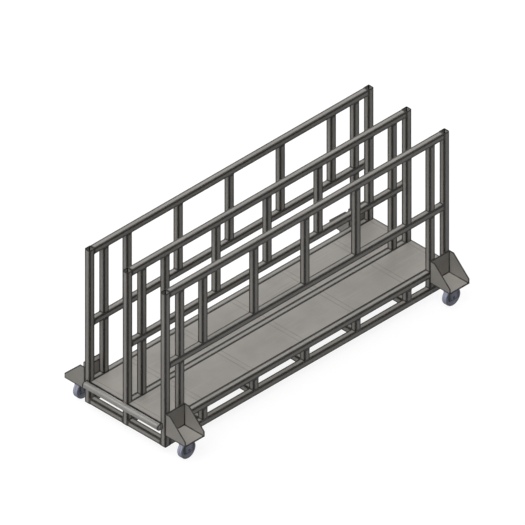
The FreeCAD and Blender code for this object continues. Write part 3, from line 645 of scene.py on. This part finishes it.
dark_plating = steel_finish(
    "dark_plating", (0.018, 0.018, 0.02), (90.0, 90.0, 90.0), 0.4, 0.4, streaks=0.3, dust=0.35
)
trail, kingpin_offset, caster_line, plate_bottom = 0.04, 0.035, 0.6205, 0.197
bolt_flats, bolt_head_height, bolt_radius, bolt_length = 0.017, 0.0064, 0.005, 0.0125
bolt_along, bolt_across = 0.0525, 0.04
head_down = Matrix.Rotation(math.pi, 4, "X")
bolt_head = hexagon_head(bolt_flats, bolt_head_height)
bolt_shank = round_bar(bolt_radius, 0.0, bolt_length)
heads, shanks = [], []
for outward in outward_sides.values():
    for bracket in bracket_places.values():
        for along in (-1, 1):
            for across in (-1, 1):
                place = at(
                    bracket + kingpin_offset + along * bolt_along,
                    outward * caster_line + across * bolt_across,
                    plate_bottom,
                )
                heads.append(copied(bolt_head, place @ head_down))
                shanks.append(copied(bolt_shank, place))
bpy.data.objects.remove(bolt_head)
bpy.data.objects.remove(bolt_shank)
for name, parts, finish in (
    ("caster_bolt_heads", heads, dark_plating),
    ("caster_bolt_shanks", shanks, bracket_paint),
):
    bolts = set_out(name, parts, finish)
    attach(bolts, "frame")
    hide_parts("caster_bolts")


# Forks: a strip of steel folded over each wheel, with a turned cup on the crown for the lower ball race.
# Folded with a round bend, deburred along its edges and zinc plated; it swivels on the kingpin with its axle.
def turned(name, outline, steps):
    """A solid turned about the Y axis from an outline of radius and place along the axis."""
    clear_picks()
    bpy.ops.mesh.primitive_plane_add(size=0.001)
    piece = bpy.context.active_object
    piece.name = name
    bpy.ops.object.mode_set(mode="EDIT")
    bpy.ops.mesh.select_mode(type="VERT")
    bpy.ops.mesh.merge(type="CENTER")
    bpy.ops.transform.translate(value=(*outline[0], 0))
    for (start_r, start_y), (end_r, end_y) in zip(outline, outline[1:]):
        move = (end_r - start_r, end_y - start_y, 0)
        bpy.ops.mesh.extrude_vertices_move(TRANSFORM_OT_translate={"value": move})
    bpy.ops.mesh.select_all(action="SELECT")
    bpy.ops.mesh.edge_face_add()
    bpy.ops.mesh.delete(type="ONLY_FACE")
    bpy.ops.mesh.select_all(action="SELECT")
    bpy.ops.mesh.spin(steps=steps, angle=2 * math.pi, center=(0, 0, 0), axis=(0, 1, 0))
    bpy.ops.mesh.select_all(action="SELECT")
    bpy.ops.mesh.remove_doubles(threshold=0.00001)
    bpy.ops.mesh.normals_make_consistent(inside=False)
    bpy.ops.object.mode_set(mode="OBJECT")
    return piece


leg_width, fork_outer, leg_foot, crown_top, strip = 0.114, 0.033, 0.0635, 0.186, 0.005
bend_radius, foot_corner, burr, touching = 0.009, 0.004, 0.0006, 0.0001
clear_picks()
bpy.ops.mesh.primitive_cube_add(size=1.0)
folded_fork = bpy.context.active_object
bpy.ops.object.mode_set(mode="EDIT")
bpy.ops.transform.resize(value=(leg_width, 2 * fork_outer, crown_top - leg_foot), center_override=(0, 0, 0))
bpy.ops.transform.translate(value=(-trail, 0, (crown_top + leg_foot) / 2))
bpy.ops.mesh.select_mode(type="FACE")
bpy.ops.mesh.select_all(action="DESELECT")
mesh = bmesh.from_edit_mesh(folded_fork.data)
for part in mesh.faces:
    part.select_set(abs(part.normal.x) > 0.9 or part.normal.z < -0.9)
bmesh.update_edit_mesh(folded_fork.data)
bpy.ops.mesh.delete(type="FACE")
bpy.ops.mesh.select_mode(type="EDGE")
bpy.ops.mesh.select_all(action="DESELECT")
mesh = bmesh.from_edit_mesh(folded_fork.data)
for edge in mesh.edges:
    at_crown = all(abs(corner.co.z - crown_top) < touching for corner in edge.verts)
    edge.select_set(at_crown and len(edge.link_faces) == 2)
bmesh.update_edit_mesh(folded_fork.data)
bpy.ops.mesh.bevel(offset=bend_radius, segments=5, affect="EDGES")
bpy.ops.mesh.select_mode(type="VERT")
bpy.ops.mesh.select_all(action="DESELECT")
mesh = bmesh.from_edit_mesh(folded_fork.data)
for corner in mesh.verts:
    corner.select_set(abs(corner.co.z - leg_foot) < touching)
bmesh.update_edit_mesh(folded_fork.data)
bpy.ops.mesh.bevel(offset=foot_corner, segments=3, affect="VERTICES")
bpy.ops.object.mode_set(mode="OBJECT")
wall = folded_fork.modifiers.new("wall", "SOLIDIFY")
wall.thickness = strip
wall.offset = -1.0
deburred = folded_fork.modifiers.new("deburred", "BEVEL")
deburred.width = burr
deburred.segments = 2
for modifier in ("wall", "deburred"):
    bpy.ops.object.modifier_apply(modifier=modifier)
race_cup = turned(
    "race_cup",
    [
        (0.0082, 0.1802),
        (0.0323, 0.1802),
        (0.033, 0.1812),
        (0.033, 0.1885),
        (0.0312, 0.1905),
        (0.0295, 0.1905),
        (0.0295, 0.1872),
        (0.0205, 0.1872),
        (0.0205, 0.1905),
        (0.0175, 0.1905),
        (0.0175, 0.187),
        (0.0082, 0.187),
    ],
    48,
)
race_cup.data.transform(crosswise)
corners = {
    f"{side}_{end}": (bracket + kingpin_offset - trail, outward * caster_line)
    for side, outward in outward_sides.items()
    for end, bracket in bracket_places.items()
}
for corner, (wheel, line) in corners.items():
    kingpin = at(wheel + trail, line, 0)
    fork_parts = [copied(folded_fork, kingpin), copied(race_cup, kingpin)]
    fork = set_out(f"{corner}_folded_fork", fork_parts, zinc)
    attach(fork, f"{corner}_caster")
    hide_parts(f"{corner}_fork")
bpy.data.objects.remove(folded_fork)
bpy.data.objects.remove(race_cup)


# Axles: a bolt through each fork and wheel, with a washer face under its head and a plain nut on its tail.
# Dark plated steel with chamfered corners, held still by the fork while the wheel turns on it.
axle_height, axle_radius, axle_tail, nut_flats, nut_height = 0.0875, 0.006, 0.003, 0.019, 0.008
axle_head = hexagon_head(nut_flats, nut_height)
axle_bar = round_bar(axle_radius, -fork_outer, fork_outer + nut_height + axle_tail)
toward_front = Matrix.Rotation(math.pi / 2, 4, "X")
toward_rear = Matrix.Rotation(-math.pi / 2, 4, "X")
for corner, (wheel, line) in corners.items():
    bolt_end = copied(axle_head, at(wheel, line - fork_outer, axle_height) @ toward_front)
    nut = copied(axle_head, at(wheel, line + fork_outer, axle_height) @ toward_rear)
    bar = copied(axle_bar, at(wheel, line, axle_height) @ toward_rear)
    axle = set_out(f"{corner}_axle_bolt", [bolt_end, nut, bar], dark_plating)
    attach(axle, f"{corner}_caster")
    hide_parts(f"{corner}_axle")
bpy.data.objects.remove(axle_head)
bpy.data.objects.remove(axle_bar)


# Tyres: solid polyurethane moulded on the hubs, blue-grey, with round shoulders and a low crown.
# A fine moulding line runs round the tread and a groove round each side.
# The tread keeps the plain blue-grey; the sides are darkened by their facing, and the grooves by the edge
# mask, as painted shade.
tyre_colour, side_shade = (0.4, 0.42, 0.54), (0.84, 0.84, 0.82)
polyurethane = steel_finish(
    "blue_grey_tyre",
    tyre_colour,
    (30.0, 30.0, 30.0),
    0.52,
    streaks=0.15,
    dust=0.3,
    gloss=0.3,
    edges=0.5,
    breadth=0.004,
)
tree = polyurethane.node_tree
shader = tree.nodes["Principled BSDF"]
facing = put(tree, "ShaderNodeTexCoord").outputs["Normal"]
sideways = reckon(tree, "ABSOLUTE", put(tree, "ShaderNodeSeparateXYZ", {"Vector": facing}).outputs["Y"])
tread = shader.inputs["Base Color"].links[0].from_socket
# Faces turned sideways are darkened by their facing: painted shade.
shaded_sides = blended(tree, 1.0, tread, (*side_shade, 1.0), "MULTIPLY")
on_side = ranged(tree, sideways, 0.6, 0.97)
tree.links.new(blended(tree, on_side, tread, shaded_sides), shader.inputs["Base Color"])
half_section = [
    (0.0872, 0.0006),
    (0.0872, 0.02),
    (0.0868, 0.0219),
    (0.0857, 0.0235),
    (0.0841, 0.0246),
    (0.0822, 0.025),
    (0.0775, 0.025),
    (0.0768, 0.0241),
    (0.0752, 0.0241),
    (0.0745, 0.025),
    (0.07, 0.025),
    (0.0695, 0.0245),
]
other_half = [(radius, -along) for radius, along in reversed(half_section)]
moulded_tyre = turned("moulded_tyre", other_half + [(0.0875, 0.0)] + half_section, 72)
for corner, (wheel, line) in corners.items():
    placed = copied(moulded_tyre, at(wheel, line, axle_height))
    tyre = set_out(f"{corner}_moulded_tyre", [placed], polyurethane)
    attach(tyre, f"{corner}_wheel")
    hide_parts(f"{corner}_tyre")
bpy.data.objects.remove(moulded_tyre)


# Hubs: solid wheel centres with a raised rim and a boss around the bearings, and a shallow dish between them.
# Cast and painted satin blue-grey; two steel bearings are pressed into each boss.
hub_paint = steel_finish(
    "hub_paint", (0.25, 0.27, 0.36), (40.0, 40.0, 40.0), 0.5, streaks=0.2, dust=0.25, bump=0.0006
)
half_section = [
    (0.0695, 0.0225),
    (0.069, 0.023),
    (0.063, 0.023),
    (0.0618, 0.0222),
    (0.0608, 0.0204),
    (0.0597, 0.02),
    (0.0285, 0.02),
    (0.0272, 0.0206),
    (0.0258, 0.0242),
    (0.0246, 0.025),
    (0.0165, 0.025),
    (0.016, 0.0245),
]
other_half = [(radius, -along) for radius, along in reversed(half_section)]
cast_hub = turned("cast_hub", half_section + other_half, 64)
for corner, (wheel, line) in corners.items():
    placed = copied(cast_hub, at(wheel, line, axle_height))
    hub = set_out(f"{corner}_cast_hub", [placed], hub_paint)
    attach(hub, f"{corner}_wheel")
    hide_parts(f"{corner}_hub")
    clad(ground_steel, f"{corner}_wheel_bearings")
bpy.data.objects.remove(cast_hub)


# Loading roller: a steel tube across one end that panels roll in over, on plugs that turn on a fixed axle.
# The tube is turned smooth with rounded rims and polished by use.
# The axle is bare ground steel, and its nuts clamp it between the end plates.
roller_low, roller_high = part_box("roller_tube")
roller_middle = (roller_low + roller_high) / 2
roller_end = (roller_high.y - roller_low.y) / 2
roller_steel = steel_finish(
    "worn_roller_steel", (0.245, 0.235, 0.222), (140.0, 4.0, 140.0), 0.3, streaks=0.3, dust=0.05, gloss=0.6
)
plug_colour = (0.05, 0.05, 0.053)
plug_plastic = steel_finish("roller_plug_plastic", plug_colour, (60.0, 60.0, 60.0), 0.55, dust=0.15)
half_section = [
    (0.03, roller_end - 0.003),
    (0.0296, roller_end - 0.0012),
    (0.0284, roller_end),
    (0.0272, roller_end),
    (0.027, roller_end - 0.0004),
]
other_half = [(radius, -along) for radius, along in reversed(half_section)]
shell = turned("roller_shell", half_section + other_half, 72)
roller = set_out("roller_shell", [copied(shell, Matrix.Translation(roller_middle))], roller_steel)
bpy.data.objects.remove(shell)
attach(roller, "roller")
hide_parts("roller_tube")
clad(plug_plastic, "roller_bearing_plugs")

plate_face, roller_nut, roller_nut_flats, roller_axle_radius = 0.45, 0.008, 0.024, 0.008
nut_pattern = hexagon_head(roller_nut_flats, roller_nut)
bar_pattern = round_bar(roller_axle_radius, -plate_face - roller_nut, plate_face + roller_nut)
axle_parts = [
    copied(nut_pattern, at(roller_middle.x, -plate_face, roller_middle.z) @ toward_front),
    copied(nut_pattern, at(roller_middle.x, plate_face, roller_middle.z) @ toward_rear),
    copied(bar_pattern, at(roller_middle.x, 0, roller_middle.z) @ toward_rear),
]
bpy.data.objects.remove(nut_pattern)
bpy.data.objects.remove(bar_pattern)
roller_axle = set_out("roller_axle_bar", axle_parts, ground_steel)
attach(roller_axle, "frame")
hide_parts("roller_axle")


# Roller end plates: two flat plates with a round nose, welded on edge to the corner posts.
# Cut from plate and painted with the frame; a bead runs down both faces of each where it meets its post.
end_plate_paint = steel_finish(
    "grey_paint_on_end_plates", grey_paint, plate_streaks, 0.5, breadth=0.009, **plate_wear
)
eased("filed_end_plates", "roller_end_plates", filed_width, end_plate_paint)
plate_low, plate_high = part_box("roller_end_plates")
end_plate_thickness, plate_bead_length, plate_bead_radius = 0.008, 0.054, 0.004
plate_bead = straight_bead(plate_bead_length, plate_bead_radius)
beads = []
for outward in outward_sides.values():
    for face in (plate_face, plate_face - end_plate_thickness):
        bead_place = at(plate_high.x, outward * face, (plate_low.z + plate_high.z) / 2)
        beads.append(copied(plate_bead, bead_place))
bpy.data.objects.remove(plate_bead)
plate_welds = set_out("roller_plate_welds", beads, weld_paint)
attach(plate_welds, "frame")


# Floor, backdrop and light: a plain pale studio floor that shows white and keeps a soft shadow.
# A broad key comes from above and the roller's end, with a low fill behind for the far sides.
clear_picks()
floor_radius, floor_glow, world_light = 30.0, 0.7, 0.17
bpy.ops.mesh.primitive_circle_add(vertices=96, radius=floor_radius, fill_type="NGON")
floor = bpy.context.active_object
floor.name = "studio_floor"
floor_finish = bpy.data.materials.new("studio_floor")
floor_finish.use_nodes = True
tree = floor_finish.node_tree
tree.nodes.remove(tree.nodes["Principled BSDF"])


def seen_directly(tree):
    """1 for rays that show the backdrop itself: from the camera, in a gloss or through glass."""
    path = put(tree, "ShaderNodeLightPath").outputs
    seen = reckon(tree, "MAXIMUM", path["Is Camera Ray"], path["Is Glossy Ray"])
    return reckon(tree, "MAXIMUM", seen, path["Is Transmission Ray"])


lit_floor = put(tree, "ShaderNodeBsdfDiffuse", {"Color": (0.36, 0.36, 0.36, 1.0)})
bounce = put(tree, "ShaderNodeBsdfDiffuse", {"Color": (0.22, 0.22, 0.22, 1.0)})
white = put(tree, "ShaderNodeEmission", {"Color": (1.0, 1.0, 1.0, 1.0), "Strength": floor_glow})
shown = put(tree, "ShaderNodeAddShader", {0: white.outputs[0], 1: lit_floor.outputs[0]})
chosen = put(tree, "ShaderNodeMixShader", {0: seen_directly(tree), 1: bounce.outputs[0], 2: shown.outputs[0]})
clear_below = put(tree, "ShaderNodeBsdfTransparent")
backfacing = put(tree, "ShaderNodeNewGeometry").outputs["Backfacing"]
sided = put(tree, "ShaderNodeMixShader", {0: backfacing, 1: chosen.outputs[0], 2: clear_below.outputs[0]})
tree.links.new(sided.outputs[0], tree.nodes["Material Output"].inputs["Surface"])
floor.data.materials.append(floor_finish)

studio = bpy.data.worlds.new("studio")
bpy.context.scene.world = studio
studio.use_nodes = True
tree = studio.node_tree
strength = ranged(tree, seen_directly(tree), 0.0, 1.0, world_light, 1.0)
tree.links.new(strength, tree.nodes["Background"].inputs["Strength"])
tree.nodes["Background"].inputs["Color"].default_value = (1.0, 1.0, 1.0, 1.0)


def lamp(name, source, level, spread, shadow=True):
    """A broad light from a direction, at a level where 1 shows a facing colour as it is written."""
    data = bpy.data.lights.new(name, "SUN")
    data.energy = math.pi * level
    data.angle = math.radians(spread)
    data.use_shadow = shadow
    made = bpy.data.objects.new(name, data)
    made.rotation_mode = "QUATERNION"
    made.rotation_quaternion = Vector(source).to_track_quat("Z", "Y")
    bpy.context.scene.collection.objects.link(made)


above_roller_end = (-0.44, -0.02, 0.9)
over_far_post, behind = (-0.47, 0.58, 0.67), (0.6, 0.7, 0.25)
lamp("key_light", above_roller_end, level=0.2, spread=50.0)
lamp("even_light", above_roller_end, level=0.47, spread=50.0, shadow=False)
lamp("glint_light", over_far_post, level=0.2, spread=20.0, shadow=False)
lamp("back_fill", behind, level=0.25, spread=60.0)


# Camera: a level isometric view from the front and the roller's end.
# It has no perspective, and its aim sets where the rack stands in the picture.
view_width, camera_distance, aim_right, aim_up = 4.417, 12.0, -0.0154, 0.7514
camera_data = bpy.data.cameras.new("camera")
camera_data.type = "ORTHO"
camera_data.ortho_scale = view_width
camera = bpy.data.objects.new("camera", camera_data)
bpy.context.scene.collection.objects.link(camera)
toward_camera = Vector((-1.0, -1.0, 1.0)).normalized()
right = Vector((1.0, -1.0, 0.0)).normalized()
up = toward_camera.cross(right)
aim = aim_right * right + aim_up * up
camera.location = aim + camera_distance * toward_camera
camera.rotation_mode = "QUATERNION"
camera.rotation_quaternion = toward_camera.to_track_quat("Z", "Y")
bpy.context.scene.camera = camera
bpy.context.scene.view_settings.view_transform = "Standard"
